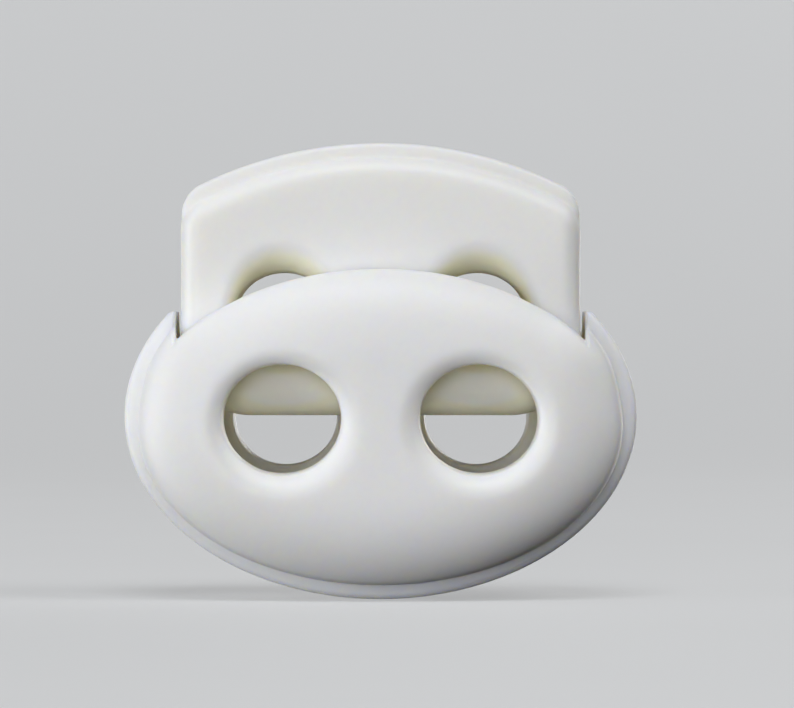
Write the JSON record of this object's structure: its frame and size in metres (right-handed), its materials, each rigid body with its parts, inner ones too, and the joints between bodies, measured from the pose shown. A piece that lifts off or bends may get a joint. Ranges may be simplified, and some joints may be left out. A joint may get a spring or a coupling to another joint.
{
  "type": "cord lock",
  "caption": "Oval two-hole cord lock with domed faces: a sprung plunger slides in a slotted housing and pinches two cords that pass through both.",
  "frame": {"origin": "midway between the axes of the two cord holes of the housing, at mid depth", "axes": "+X along the width, +Y from the front face to the back face, parallel to the cord holes, +Z towards the plunger's thumb end"},
  "size_m": [0.025, 0.0126, 0.0223],
  "materials": {
    "housing_plastic": "white moulded acetal, satin",
    "plunger_plastic": "white moulded acetal, satin",
    "spring_steel": "drawn spring wire"
  },
  "bodies": {
    "housing": {"housing": "housing_plastic", "spring": "spring_steel"},
    "plunger": {"plunger": "plunger_plastic"}
  },
  "joints": [
    {"name": "plunger_slide", "type": "slide", "parent": "housing", "child": "plunger", "axis": [0, 0, -1], "range_m": [0, 0.005], "stiffness_N_per_m": 700, "springref_m": -0.0025, "deforming": ["spring"]}
  ]
}
